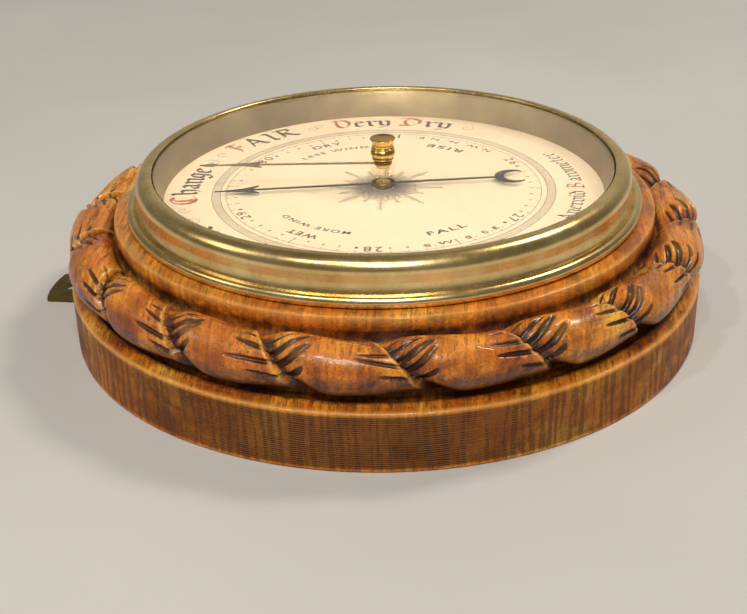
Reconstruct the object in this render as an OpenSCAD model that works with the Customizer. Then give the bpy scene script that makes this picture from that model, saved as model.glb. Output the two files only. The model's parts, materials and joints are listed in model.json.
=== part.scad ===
// Rope-bordered wall barometer, lying on its back.
// Origin: centre of the case's back face. +Z out of the dial, +Y towards the hanging plate.

/* [Case] */
// Diameter of the turned oak case
case_d = 300; // [280:1:330]
// Height of the case's plain side, up to its top edge
base_h = 27; // [24:0.5:30]
// Thickness of the rope border
rope_d = 24; // [20:0.5:26]
// Height of the middle of the rope border
rope_z = 42; // [40:0.5:44]
// Diameter of the raised ring that the bezel sits on
seat_d = 255; // [250:1:258]
// Height of the raised ring
seat_z = 57; // [56:0.5:58]
// Diameter of the opening in the back
back_bore_d = 196; // [180:1:204]
// Depth of the opening in the back
back_bore_h = 9.5; // [8:0.5:9.5]

/* [Hanging plate] */
// Width of the hanging plate
hanger_w = 28; // [24:1:36]
// Distance from the case's centre to the plate's outer end
hanger_reach = 172; // [168:1:176]
// Thickness of the hanging plate
hanger_t = 2; // [1.5:0.5:3]
// Diameter of the nail hole
hang_hole_d = 7; // [5:0.5:8]
// Turn of the hanging plate about the case's centre, in degrees
hanger_turn = -3.5; // [-5:0.5:5]

/* [Bezel and glass] */
// Diameter of the bezel's outer bead
bezel_d = 242.6; // [240:0.2:246]
// Diameter of the bezel's top rim
rim_d = 221; // [220:0.5:224]
// Height of the bezel's top rim
rim_z = 76.5; // [76:0.25:78]
// Diameter of the glass
glass_d = 218.4; // [216:0.2:218.6]
// Thickness of the glass
glass_t = 3; // [2.5:0.25:3]
// Turn of the ring of bezel screws, in degrees
bezel_screw_turn = -1; // [-30:1:30]

/* [Dial] */
// Diameter of the dial
dial_d = 215; // [212:1:215]
// Height of the dial's face
dial_z = 59.25; // [58.75:0.25:59.75]
// Length of the indicating hand, hub to tip
hand_len = 80; // [70:1:90]
// Length of the set hand, hub to tip
set_hand_len = 87; // [75:1:92]
// Direction of the indicating hand, anticlockwise from +X
hand_dir = 99; // [80:1:120]
// Direction of the set hand, anticlockwise from +X
set_hand_dir = 93; // [60:1:120]
// Diameter of the set knob
knob_d = 12; // [10:0.5:14]
// Height of the set knob above the glass
knob_h = 10.6; // [9:0.2:12]

/* [Movement] */
// Diameter of the drum that holds the movement
drum_d = 216.4; // [214:0.2:216.6]
// Diameter of the movement's base plate
base_plate_d = 116; // [110:1:130]
// Diameter of the vacuum capsule
capsule_d = 62; // [50:1:62]
// Thickness of the vacuum capsule
capsule_h = 8; // [6:0.5:8]
// Width of the main spring's leaf
spring_w = 28; // [20:1:30]

/* [Hidden] */
$fn = 96;
eps = 0.01;
fit = 0.05;
case_r = case_d / 2;
rope_ring_r = case_r + 1 - rope_d / 2;
seat_r = seat_d / 2;
bore_r = drum_d / 2 + 0.8;
back_bore_r = back_bore_d / 2;

// bezel
bezel_r = bezel_d / 2;
bead_r = 2.4;
bead_c = [bezel_r - bead_r, seat_z + bead_r];
bezel_bore_r = 109.5;
lip_r = 108.3;
lip_z = 75.6;
drum_flange_z = 58.2;
drum_flange_r = 113.4;
bezel_screw_r = bezel_r - 4.2;
bezel_screw_z = seat_z + 4.3;
bezel_screw_count = 3;

// glass and set hand
glass_r = glass_d / 2;
glass_top_z = lip_z - 0.1;
glass_z = glass_top_z - glass_t;
spindle_r = 1.95;
set_hand_z = glass_z - 1.3;
set_hand_t = 0.6;
set_nut_z = set_hand_z - 1.5;
knob_z = glass_top_z + 0.35;

// dial
dial_r = dial_d / 2;
card_t = 0.4;
dial_plate_t = 1.1;
dial_plate_z = dial_z - card_t - dial_plate_t;
dial_hole_r = 4;
hand_z = dial_z + 1.9;
hand_t = 0.5;
hub_r = 6;
collet_r = 3.6;
neck_r = 1.6;

// drum
drum_r = drum_d / 2;
drum_wall = 1;
drum_z = 11.75;
drum_floor_t = 1.2;
floor_z = drum_z + drum_floor_t;

// base plate and what stands on it
plate_t = 3;
plate_top = floor_z + plate_t;
capsule_r = capsule_d / 2;
capsule_z = plate_top + 3.3;
capsule_top = capsule_z + capsule_h;
stud_r = 3.5;
post_r = 2.2;
bridge_y = -22;
bridge_x = 37;
bridge_z = 29.25;
bridge_t = 4;
bridge_top = bridge_z + bridge_t;
leaf_t = 1.4;
curl_r = 3.7;
curl_y = -34;
leaf_z = bridge_top + 2 * curl_r - leaf_t;
leaf_top = leaf_z + leaf_t;
adjust_y = -39;
adjust_r = 2.45;
plate_screw_r = 50;
plate_screw_angles = [45, 150, 285];

// pointer train
arbor_r = 0.9;
chain_drum_r = 2.2;
chain_x = -2.6;
chain_z = 49.25;
bar_z = 44.25;
bar_t = 1.5;
bar_top = bar_z + bar_t;
bar_post_x = 44;
cock_z = 54.25;
cock_t = 1.4;
cock_foot_x = -26;
spring_z = 51.45;
spring_h = 1.2;
spring_in = 2.6;
spring_out = 11.6;
spring_turns = 4;
shaft_y = 44;
shaft_z = 35.25;
shaft_r = 1.3;
pivot_r = 0.8;
shaft_x = [-16, 20];
arm_x = -4.6;
short_arm_x = -10.5;
short_arm_len = 4;
lever_pin_z = 41.65;
link_y = shaft_y + short_arm_len;

oak = [0.72, 0.38, 0.13];
brass = [0.78, 0.62, 0.28];
steel = [0.62, 0.64, 0.66];
blued = [0.12, 0.13, 0.18];
silvered = [0.80, 0.80, 0.78];

// Points on an arc about c, from angle a0 to a1
function arc(c, r, a0, a1, n = 12) =
    [for (i = [0:n]) c + r * [cos(a0 + (a1 - a0) * i / n), sin(a0 + (a1 - a0) * i / n)]];

module at_angle(a, r) {
    rotate([0, 0, a]) translate([r, 0, 0]) children();
}

// A slotted screw with its head's underside at z = 0, and its shank below
module screw(head_r, head_h, shank_r, shank_l, slot_w = 0.5) {
    difference() {
        cylinder(r = head_r, h = head_h);
        translate([-head_r - 1, -slot_w / 2, head_h * 0.55]) cube([2 * head_r + 2, slot_w, head_h]);
    }
    translate([0, 0, -shank_l]) cylinder(r = shank_r, h = shank_l + eps);
}

// ---- Case ----

// Section of the turned case, without its rope border
module case_section() {
    polygon(concat(
        [[back_bore_r, 0], [case_r - 1, 0], [case_r, 1], [case_r, base_h - 0.8]],
        arc([case_r - 0.8, base_h - 0.8], 0.8, 10, 80, 4),
        [[case_r - 7, base_h + 1.2], [case_r - 9, base_h - 1]],
        [[rope_ring_r - 4, base_h - 1], [seat_r + 1.6, rope_z]],
        arc([seat_r + 4.2, seat_z - 4], 4, 225, 165, 6),
        arc([seat_r - 1.2, seat_z - 1.2], 1.2, 0, 90, 4),
        [[bore_r, seat_z], [bore_r, back_bore_h], [back_bore_r, back_bore_h]]
    ));
}

module hanger_outline(grow = 0) {
    end_r = 60;
    intersection() {
        translate([-hanger_w / 2 - grow, 118 - grow]) square([hanger_w + 2 * grow, 60]);
        translate([0, hanger_reach - end_r]) circle(r = end_r + grow, $fn = 180);
    }
}

module oak_case() {
    color(oak) difference() {
        rotate_extrude($fn = 180) {
            case_section();
            translate([rope_ring_r, rope_z]) circle(r = rope_d / 2, $fn = 64);
        }
        rotate([0, 0, hanger_turn]) {
            translate([0, 0, -1]) linear_extrude(hanger_t + 1) hanger_outline(0.1);
            hanger_screw_places() translate([0, 0, 0.5]) cylinder(r = 1.6, h = 15.5, $fn = 32);
        }
        bezel_screw_places() translate([0, 0, seat_z - 14]) cylinder(r = 1, h = 20, $fn = 24);
    }
}

module hanger_screw_places() {
    for (x = [-8, 8]) translate([x, 132, 0]) children();
}

module hanging_plate() {
    color(brass) rotate([0, 0, hanger_turn]) difference() {
        linear_extrude(hanger_t) hanger_outline();
        translate([0, hanger_reach - 10, -1]) cylinder(d = hang_hole_d, h = hanger_t + 2);
        hanger_screw_places() translate([0, 0, -eps]) {
            cylinder(r = 1.7, h = hanger_t + 1, $fn = 32);
            cylinder(r1 = 3.2, r2 = 1.7, h = 1.6, $fn = 32);
        }
    }
}

module hanging_plate_screws() {
    color(brass) rotate([0, 0, hanger_turn]) hanger_screw_places() difference() {
        union() {
            cylinder(r1 = 3.1, r2 = 1.6, h = 1.5, $fn = 32);
            cylinder(r = 1.6, h = 15, $fn = 32);
        }
        translate([-4, -0.4, -1]) cube([8, 0.8, 1.6]);
    }
}

// ---- Drum, bezel and glass ----

module drum_case() {
    color(brass) difference() {
        rotate_extrude($fn = 180) polygon([
            [0, drum_z], [drum_r, drum_z], [drum_r, seat_z], [drum_flange_r, seat_z],
            [drum_flange_r, drum_flange_z], [drum_r, drum_flange_z], [drum_r, dial_plate_z],
            [drum_r - drum_wall, dial_plate_z], [drum_r - drum_wall, floor_z], [0, floor_z]
        ]);
        translate([0, 0, drum_z - 1]) cylinder(r = 9, h = 4);
        translate([0, adjust_y, drum_z - 1]) cylinder(r = 6, h = 4, $fn = 48);
        for (a = plate_screw_angles)
            at_angle(a, plate_screw_r) translate([0, 0, drum_z - 1]) cylinder(r = 1.9, h = 4, $fn = 24);
    }
}

// Outside of the bezel: bead, cove, shoulder and rim
module bezel_section() {
    cove_c = [bezel_r - 0.3, seat_z + 12.8];
    shoulder_c = [rim_d / 2 - 1.1, rim_z - 3.9];
    polygon(concat(
        [[drum_flange_r + 0.4, seat_z]],
        arc(bead_c, bead_r, -80, 120, 16),
        arc(cove_c, 9.4, 240, 183, 12),
        arc(shoulder_c, 3.1, -45, 60, 10),
        arc([rim_d / 2 - 1.2, rim_z - 0.8], 0.8, 30, 90, 4),
        [[lip_r + 0.4, rim_z], [lip_r, rim_z - 0.4], [lip_r, lip_z], [bezel_bore_r, lip_z]],
        [[bezel_bore_r, drum_flange_z], [drum_flange_r + 0.4, drum_flange_z]]
    ));
}

module bezel_screw_places() {
    for (i = [0:bezel_screw_count - 1])
        at_angle(90 + bezel_screw_turn + i * 360 / bezel_screw_count, bezel_screw_r) children();
}

module bezel_ring() {
    color(brass) difference() {
        rotate_extrude($fn = 180) bezel_section();
        bezel_screw_places() {
            translate([0, 0, seat_z - 1]) cylinder(r = 1, h = 10, $fn = 24);
            translate([0, 0, bezel_screw_z]) cylinder(r = 2, h = 6, $fn = 32);
        }
    }
}

module bezel_screws() {
    color(brass) bezel_screw_places() translate([0, 0, bezel_screw_z]) screw(1.8, 1, 1, 17.5);
}

module glass() {
    color([0.8, 0.9, 0.85, 0.3]) difference() {
        rotate_extrude($fn = 180) polygon([
            [0, glass_z], [glass_r, glass_z], [glass_r, glass_top_z - 0.9],
            [lip_r - 0.1, glass_top_z - 0.8], [lip_r - 7, glass_top_z], [0, glass_top_z]
        ]);
        translate([0, 0, glass_z - 1]) cylinder(r = spindle_r + fit, h = glass_t + 2, $fn = 32);
    }
}

module glass_retaining_ring() {
    color(brass) rotate_extrude($fn = 180) polygon([
        [bezel_bore_r - 0.2, dial_z], [bezel_bore_r - 0.2, glass_z],
        [bezel_bore_r - 1.6, glass_z], [dial_r - 3.5, dial_z]
    ]);
}

// ---- Set hand ----

module set_knob() {
    r = knob_d / 2;
    color(brass) {
        rotate_extrude($fn = 64) translate([0, knob_z]) polygon(concat(
            [[0, 0], [r - 2.6, 0]],
            arc([r - 2.4, 1.1], 1.1, -90, 40, 6),
            arc([r - 2.2, 3.6], 2.2, -35, 55, 8),
            arc([r + 0.4, 6.3], 1.5, 235, 130, 8),
            arc([r - 1.6, knob_h - 2.0], 1.6, -35, 70, 8),
            [[r - 2, knob_h - 0.5], [0, knob_h - 0.2]]
        ));
        translate([0, 0, set_nut_z]) cylinder(r = spindle_r, h = knob_z - set_nut_z + 1, $fn = 32);
    }
}

module knob_washer() {
    color(blued) translate([0, 0, glass_top_z + 0.05]) ring(3.4, spindle_r, 0.3);
}

module set_hand_washer() {
    color(blued) translate([0, 0, set_hand_z + set_hand_t]) ring(4.2, spindle_r, 0.6);
}

module ring(outer, inner, h) {
    difference() {
        cylinder(r = outer, h = h, $fn = 64);
        translate([0, 0, -1]) cylinder(r = inner, h = h + 2, $fn = 32);
    }
}

module set_hand() {
    color(brass) rotate([0, 0, set_hand_dir]) translate([0, 0, set_hand_z]) difference() {
        linear_extrude(set_hand_t) {
            circle(r = 4.4, $fn = 64);
            polygon([[3, -0.8], [set_hand_len - 26, -0.5], [set_hand_len - 26, 0.5], [3, 0.8]]);
            arrowhead(set_hand_len - 27, 15, 3.6);
            spearhead(set_hand_len - 9, 9, 1.6);
            polygon([[58, -0.5], [set_hand_len - 7, -0.4], [set_hand_len - 7, 0.4], [58, 0.5]]);
        }
        translate([0, 0, -1]) cylinder(r = spindle_r, h = 3, $fn = 32);
    }
}

module set_hand_nut() {
    color(brass) translate([0, 0, set_nut_z]) ring(3.4, spindle_r, 1.5);
}

// Barbed arrowhead that starts at x, w wide each side
module arrowhead(x, l, w) {
    polygon([[x - 3, w], [x + 1, 0.4], [x + 1, -0.4], [x - 3, -w], [x + l * 0.35, -1.5], [x + l, -0.3],
             [x + l, 0.3], [x + l * 0.35, 1.5]]);
}

module spearhead(x, l, w) {
    polygon([[x, -0.3], [x + l * 0.3, -w], [x + l, -0.1], [x + l, 0.1], [x + l * 0.3, w], [x, 0.3]]);
}

// ---- Dial and indicating hand ----

module dial_card() {
    color([0.98, 0.92, 0.80]) translate([0, 0, dial_z - card_t]) difference() {
        cylinder(r = dial_r, h = card_t, $fn = 180);
        translate([0, 0, -1]) cylinder(r = dial_hole_r, h = 3, $fn = 48);
    }
}

module dial_plate() {
    color(brass) translate([0, 0, dial_plate_z]) difference() {
        cylinder(r = dial_r, h = dial_plate_t, $fn = 180);
        translate([0, 0, -1]) cylinder(r = dial_hole_r, h = 4, $fn = 48);
    }
}

// Flat hand with a barbed arrow, a fine tip and a crescent tail
module indicating_hand() {
    crescent_x = -hand_len * 0.77;
    color(blued) rotate([0, 0, hand_dir]) translate([0, 0, hand_z]) difference() {
        linear_extrude(hand_t) {
            circle(r = hub_r, $fn = 64);
            polygon([[3, -0.9], [hand_len - 14, -0.5], [hand_len - 14, 0.5], [3, 0.9]]);
            arrowhead(hand_len - 18, 14, 4.6);
            polygon([[hand_len - 9, -0.4], [hand_len, -0.1], [hand_len, 0.1], [hand_len - 9, 0.4]]);
            polygon([[crescent_x + 7, -0.6], [-3, -0.9], [-3, 0.9], [crescent_x + 7, 0.6]]);
            translate([crescent_x, 0]) difference() {
                circle(r = 8, $fn = 64);
                translate([-2.6, 0]) circle(r = 6.4, $fn = 64);
            }
        }
        translate([0, 0, -1]) cylinder(r = neck_r, h = 3, $fn = 32);
    }
}

// Collet riveted through the hand, with a domed top
module hand_collet() {
    color(brass) rotate_extrude($fn = 48) polygon([
        [arbor_r, dial_z + 0.5], [collet_r, dial_z + 0.5], [collet_r, hand_z], [neck_r, hand_z],
        [neck_r, hand_z + hand_t], [collet_r, hand_z + hand_t], [collet_r - 0.3, hand_z + hand_t + 0.7],
        [arbor_r, hand_z + hand_t + 0.9]
    ]);
}

// ---- Base plate and capsule ----

module base_plate() {
    color(brass) difference() {
        translate([0, 0, floor_z]) cylinder(d = base_plate_d, h = plate_t, $fn = 120);
        translate([0, 0, floor_z - 1]) cylinder(r = stud_r, h = 6, $fn = 48);
        translate([0, adjust_y, floor_z - 1]) cylinder(r = adjust_r + fit, h = 6, $fn = 48);
        for (a = plate_screw_angles)
            at_angle(a, plate_screw_r) translate([0, 0, floor_z - 1]) cylinder(r = 1.9, h = 3.5, $fn = 24);
        for (x = [-bridge_x, bridge_x]) translate([x, bridge_y, floor_z - 1]) {
            cylinder(r = 1.6, h = 6, $fn = 24);
            cylinder(r = 3.2, h = 2.5, $fn = 32);
        }
        shaft_post_places() translate([0, 0, floor_z - 1]) {
            cylinder(r = 1.2, h = 6, $fn = 24);
            cylinder(r = 2.4, h = 2.5, $fn = 32);
        }
        bar_post_places() translate([0, 0, floor_z + 1]) cylinder(r = 1.5, h = 6, $fn = 24);
    }
}

module base_plate_screws() {
    color(steel) for (a = plate_screw_angles)
        at_angle(a, plate_screw_r) translate([0, 0, drum_z]) mirror([0, 0, 1]) screw(3.4, 2, 1.9, 3.6, 0.8);
}

// Corrugated box between two studs
module vacuum_capsule() {
    mid = capsule_z + capsule_h / 2;
    rings = 4;
    step = (capsule_r - 8) / rings;
    color(silvered) rotate_extrude($fn = 96) {
        polygon(concat(
            [[0, capsule_z], [7, capsule_z]],
            [for (i = [0:rings - 1], k = [0, 1])
                [8 + (i + 0.25 + k / 2) * step, capsule_z + 0.2 + k * 1.1]],
            [[capsule_r - 1, mid - 0.8], [capsule_r, mid - 0.8]],
            [[capsule_r, mid + 0.8], [capsule_r - 1, mid + 0.8]],
            [for (i = [rings - 1:-1:0], k = [1, 0])
                [8 + (i + 0.25 + k / 2) * step, capsule_top - 0.2 - k * 1.1]],
            [[7, capsule_top], [0, capsule_top]]
        ));
        translate([0, capsule_z - 6.5]) square([stud_r, 7]);
        translate([0, plate_top]) square([6, capsule_z - plate_top + eps]);
    }
}

module capsule_nut() {
    color(steel) translate([0, 0, drum_z - 1.8]) difference() {
        cylinder(r = 6.4, h = floor_z - drum_z + 1.8, $fn = 6);
        translate([0, 0, -1]) cylinder(r = stud_r, h = 6, $fn = 48);
    }
}

module capsule_post() {
    color(steel) difference() {
        union() {
            translate([0, 0, capsule_top]) cylinder(r = 4.6, h = 1.5, $fn = 48);
            translate([0, 0, capsule_top]) cylinder(r = post_r, h = leaf_top + 2.2 - capsule_top, $fn = 48);
        }
        translate([-5, 0, leaf_top + 0.8]) rotate([0, 90, 0]) cylinder(r = 0.8, h = 10, $fn = 24);
    }
}

module capsule_pin() {
    color(steel) translate([-6, 0, leaf_top + 0.8]) rotate([0, 90, 0]) cylinder(r = 0.8, h = 12, $fn = 24);
}

// ---- Bridge and main spring ----

module bridge() {
    leg_w = 8;
    color(brass) difference() {
        union() {
            for (x = [-bridge_x, bridge_x])
                translate([x - leg_w / 2, bridge_y - 6, plate_top])
                    cube([leg_w, 12, bridge_z - plate_top + eps]);
            translate([-bridge_x - leg_w / 2, bridge_y - 6, bridge_z])
                cube([2 * bridge_x + leg_w, 12, bridge_t]);
            translate([-6, adjust_y - 5, bridge_z]) cube([12, bridge_y - adjust_y, bridge_t]);
        }
        for (x = [-bridge_x, bridge_x])
            translate([x, bridge_y, plate_top - 1]) cylinder(r = 1.6, h = 9, $fn = 24);
        for (x = [-9, 9]) translate([x, bridge_y + 2, bridge_z + 1]) cylinder(r = 1.2, h = 6, $fn = 24);
    }
}

module bridge_screws() {
    color(steel) for (x = [-bridge_x, bridge_x])
        translate([x, bridge_y, floor_z + 1.5]) mirror([0, 0, 1]) screw(3, 1.5, 1.6, 9, 0.7);
}

// C-shaped leaf: clamped below on the bridge, its free end over the capsule
module main_spring() {
    color(steel) difference() {
        translate([-spring_w / 2, 0, 0]) rotate([90, 0, 90]) linear_extrude(spring_w) {
            translate([curl_y, bridge_top]) square([bridge_y + 7 - curl_y, leaf_t]);
            translate([curl_y, leaf_z]) square([8 - curl_y, leaf_t]);
            intersection() {
                translate([curl_y, bridge_top + curl_r]) difference() {
                    circle(r = curl_r, $fn = 64);
                    circle(r = curl_r - leaf_t, $fn = 64);
                }
                translate([curl_y - 10, bridge_top - 1]) square([10 + eps, 12]);
            }
        }
        translate([0, 0, leaf_z - 1]) cylinder(r = 3, h = 4, $fn = 48);
        for (x = [-9, 9]) translate([x, bridge_y + 2, bridge_top - 1]) cylinder(r = 1.2, h = 3, $fn = 24);
    }
}

module spring_screws() {
    color(steel) for (x = [-9, 9])
        translate([x, bridge_y + 2, bridge_top + leaf_t]) screw(2.4, 1.6, 1.2, 4, 0.6);
}

// ---- Lever, link and rocking shaft ----

module main_lever() {
    foot_z = leaf_top;
    eye_z = lever_pin_z;
    color(brass) difference() {
        union() {
            translate([-12, 3.6, foot_z]) cube([20, 4.4, 1.4]);
            translate([-11.5, 3.6, foot_z]) cube([3, 37, 1.4]);
            translate([short_arm_x, 38, foot_z]) cube([1, 11.4, 1.4]);
            translate([short_arm_x, link_y, eye_z]) rotate([0, 90, 0]) cylinder(r = 1.7, h = 1, $fn = 32);
        }
        translate([short_arm_x - 1, link_y, eye_z]) rotate([0, 90, 0]) cylinder(r = 0.85, h = 3, $fn = 24);
        for (x = [-10, 6]) translate([x, 5.8, foot_z - 1]) cylinder(r = 0.7, h = 4, $fn = 24);
    }
}

module lever_screws() {
    color(steel) for (x = [-10, 6]) translate([x, 5.8, leaf_top + 1.4]) screw(1.6, 1, 0.7, 1.4, 0.4);
}

// Flat link with a pin at each end
module connecting_link() {
    x = short_arm_x + 1.6;
    color(steel) {
        translate([x, link_y - 0.7, shaft_z]) cube([0.8, 1.4, lever_pin_z - shaft_z]);
        for (z = [shaft_z, lever_pin_z]) translate([x, link_y, z]) {
            rotate([0, 90, 0]) cylinder(r = 1.1, h = 0.8, $fn = 24);
            translate([-2.2, 0, 0]) rotate([0, 90, 0]) cylinder(r = 0.5, h = 2.4, $fn = 24);
        }
    }
}

// Shaft with a short arm for the link and a tall arm for the chain
module rocking_shaft() {
    color(steel) difference() {
        union() {
            translate([shaft_x[0], shaft_y, shaft_z]) rotate([0, 90, 0])
                cylinder(r = shaft_r, h = shaft_x[1] - shaft_x[0], $fn = 32);
            translate([shaft_x[0] - 3, shaft_y, shaft_z]) rotate([0, 90, 0])
                cylinder(r = pivot_r, h = shaft_x[1] - shaft_x[0] + 6, $fn = 32);
            translate([short_arm_x, shaft_y, shaft_z - 1.2]) cube([1, short_arm_len, 2.4]);
            translate([short_arm_x, link_y, shaft_z]) rotate([0, 90, 0]) cylinder(r = 1.7, h = 1, $fn = 32);
            translate([arm_x, shaft_y - 1, shaft_z]) cube([0.8, 2, chain_z - shaft_z]);
            translate([arm_x, shaft_y, chain_z]) rotate([0, 90, 0]) cylinder(r = 1.2, h = 0.8, $fn = 24);
            translate([arm_x, shaft_y, chain_z]) rotate([0, 90, 0]) cylinder(r = 0.5, h = 2.6, $fn = 24);
        }
        translate([short_arm_x - 1, link_y, shaft_z]) rotate([0, 90, 0]) cylinder(r = 0.85, h = 3, $fn = 24);
    }
}

module shaft_post_places() {
    for (x = [shaft_x[0] - 2, shaft_x[1] + 2]) translate([x, shaft_y, 0]) children();
}

module shaft_posts() {
    color(brass) shaft_post_places() difference() {
        translate([-1.6, -3, plate_top]) cube([3.2, 6, shaft_z + 3 - plate_top]);
        translate([-3, 0, shaft_z]) rotate([0, 90, 0]) cylinder(r = pivot_r + fit, h = 6, $fn = 32);
        translate([0, 0, plate_top - 1]) cylinder(r = 1.2, h = 7, $fn = 24);
    }
}

module shaft_post_screws() {
    color(steel) shaft_post_places() translate([0, 0, floor_z + 1.5]) mirror([0, 0, 1])
        screw(2.2, 1.5, 1.2, 7, 0.6);
}

// ---- Chain and pointer arbor ----

// Flat chain from the arbor's drum to the tall arm, with a slotted end eye
module chain() {
    link = 2.1;
    run = shaft_y - 3;
    color(steel) translate([chain_x, 0, chain_z]) difference() {
        union() {
            translate([-0.2, 0, -0.35]) cube([0.4, run + 1, 0.7]);
            for (i = [0:floor(run / link) - 1]) translate([-0.35, (i + 0.5) * link, 0])
                rotate([0, 90, 0]) cylinder(r = 0.7, h = 0.7, $fn = 16);
            translate([-0.35, shaft_y - 2.2, -2]) cube([0.7, 3.6, 4]);
        }
        translate([-1, shaft_y - 0.75, -1.5]) cube([2, 1.5, 2.2]);
    }
}

module pointer_arbor() {
    color(steel) {
        translate([0, 0, bar_z + 0.2]) cylinder(r = arbor_r, h = hand_z + hand_t + 1 - bar_z, $fn = 32);
        translate([0, 0, bar_top + 0.2]) cylinder(r = 1.5, h = spring_z - 0.4 - bar_top - 0.2, $fn = 32);
        translate([0, 0, chain_z - 1]) cylinder(r = chain_drum_r, h = 2, $fn = 48);
    }
}

module bar_post_places() {
    for (x = [-bar_post_x, bar_post_x]) translate([x, 0, 0]) children();
}

module arbor_bar() {
    color(brass) difference() {
        translate([-bar_post_x - 3.4, -4, bar_z]) cube([2 * bar_post_x + 6.8, 8, bar_t]);
        translate([0, 0, bar_z - 1]) cylinder(r = arbor_r + fit, h = 4, $fn = 32);
        bar_post_places() translate([0, 0, bar_z - 1]) cylinder(r = 1.2, h = 4, $fn = 24);
        translate([cock_foot_x + 4.5, 0, bar_z - 1]) cylinder(r = 1, h = 4, $fn = 24);
    }
}

module arbor_posts() {
    color(brass) bar_post_places() difference() {
        union() {
            translate([0, 0, plate_top]) cylinder(r = 2.6, h = bar_z - plate_top, $fn = 48);
            translate([0, 0, floor_z + 1]) cylinder(r = 1.5, h = 4, $fn = 24);
        }
        translate([0, 0, bar_z - 6]) cylinder(r = 1.2, h = 7, $fn = 24);
    }
}

module arbor_bar_screws() {
    color(steel) bar_post_places() translate([0, 0, bar_top]) screw(2.4, 1.8, 1.2, 6, 0.6);
}

module top_cock() {
    color(brass) difference() {
        union() {
            translate([cock_foot_x, -3.5, bar_top]) cube([9, 7, cock_z - bar_top + eps]);
            translate([cock_foot_x, -3.5, cock_z]) cube([-cock_foot_x + 3.5, 7, cock_t]);
        }
        translate([0, 0, cock_z - 1]) cylinder(r = arbor_r + fit, h = 4, $fn = 32);
        translate([cock_foot_x + 4.5, 0, bar_top - 1]) cylinder(r = 1, h = 6, $fn = 24);
        translate([-12.4, 0, cock_z - 1]) cylinder(r = 0.7, h = 4, $fn = 24);
    }
}

module cock_screw() {
    color(steel) translate([cock_foot_x + 4.5, 0, bar_z]) mirror([0, 0, 1]) screw(2, 1.2, 1, 6, 0.5);
}

// ---- Hairspring ----

function spiral(r0, r1, turns, w, n = 18) =
    let (steps = turns * n)
    concat(
        [for (i = [0:steps]) let (r = r0 + (r1 - r0) * i / steps + w / 2, a = 180 + 360 * i / n)
            r * [cos(a), sin(a)]],
        [for (i = [steps:-1:0]) let (r = r0 + (r1 - r0) * i / steps - w / 2, a = 180 + 360 * i / n)
            r * [cos(a), sin(a)]]
    );

module hairspring() {
    color(blued) translate([0, 0, spring_z]) linear_extrude(spring_h)
        polygon(spiral(spring_in, spring_out, spring_turns, 0.3));
}

module hairspring_collet() {
    color(brass) translate([0, 0, spring_z - 0.2]) ring(2.4, arbor_r, spring_h + 0.4);
}

module hairspring_stud() {
    color(steel) translate([-12.4, 0, spring_z - 0.4])
        cylinder(r = 0.7, h = cock_z + cock_t + 0.2 - spring_z + 0.4, $fn = 24);
}

// Slotted screw reached from the back, bearing on the bridge's tail
module adjusting_screw() {
    head_z = drum_z - 2;
    color(brass) translate([0, adjust_y, 0]) difference() {
        union() {
            translate([0, 0, head_z]) cylinder(r = 4.4, h = floor_z - head_z - 0.1, $fn = 48);
            translate([0, 0, head_z + 1]) cylinder(r = adjust_r, h = bridge_z - head_z - 1.05, $fn = 48);
        }
        translate([-6, -0.5, head_z - 1]) cube([12, 1, 1.9]);
    }
}

oak_case();
hanging_plate();
hanging_plate_screws();
drum_case();
bezel_ring();
bezel_screws();
glass();
glass_retaining_ring();
set_knob();
knob_washer();
set_hand_washer();
set_hand();
set_hand_nut();
dial_card();
dial_plate();
base_plate();
base_plate_screws();
vacuum_capsule();
capsule_nut();
capsule_post();
capsule_pin();
bridge();
bridge_screws();
main_spring();
spring_screws();
main_lever();
lever_screws();
connecting_link();
rocking_shaft();
shaft_posts();
shaft_post_screws();
chain();
pointer_arbor();
arbor_bar();
arbor_posts();
arbor_bar_screws();
top_cock();
cock_screw();
hairspring();
hairspring_collet();
hairspring_stud();
indicating_hand();
hand_collet();
adjusting_screw();
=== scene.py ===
import json
import math
import random

import bmesh
import bpy
import numpy as np
from mathutils import Matrix, Vector


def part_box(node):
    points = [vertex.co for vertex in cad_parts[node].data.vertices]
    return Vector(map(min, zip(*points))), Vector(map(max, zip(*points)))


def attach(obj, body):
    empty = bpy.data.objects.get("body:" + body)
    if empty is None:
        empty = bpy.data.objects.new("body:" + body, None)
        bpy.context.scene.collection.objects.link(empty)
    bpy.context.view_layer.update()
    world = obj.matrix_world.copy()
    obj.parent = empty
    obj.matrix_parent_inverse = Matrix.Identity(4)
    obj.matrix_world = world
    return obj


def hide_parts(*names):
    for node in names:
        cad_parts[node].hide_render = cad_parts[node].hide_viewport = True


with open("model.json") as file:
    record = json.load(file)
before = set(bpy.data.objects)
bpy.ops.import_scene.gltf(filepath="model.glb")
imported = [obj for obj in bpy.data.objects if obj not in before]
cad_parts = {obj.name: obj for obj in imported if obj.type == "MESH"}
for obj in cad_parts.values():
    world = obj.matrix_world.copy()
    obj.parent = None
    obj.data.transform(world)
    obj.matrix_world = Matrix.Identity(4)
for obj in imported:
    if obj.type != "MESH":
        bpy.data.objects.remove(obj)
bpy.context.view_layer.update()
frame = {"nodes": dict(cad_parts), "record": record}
NODES = frame["nodes"]
MM = 0.001

# ---------------------------------------------------------------- sizes from the frame, in millimetres


def span(node):
    """Lowest and highest corner of a CAD node, in millimetres."""
    low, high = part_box(node)
    return low / MM, high / MM


CASE_HIGH = span("oak_case")[1]
BEZEL_LOW, BEZEL_HIGH = span("bezel_ring")
GLASS_LOW, GLASS_HIGH = span("glass")
CARD_LOW, CARD_HIGH = span("dial_card")
KNOB_LOW, KNOB_HIGH = span("set_knob")
HANGER_LOW, HANGER_HIGH = span("hanging_plate")

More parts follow.
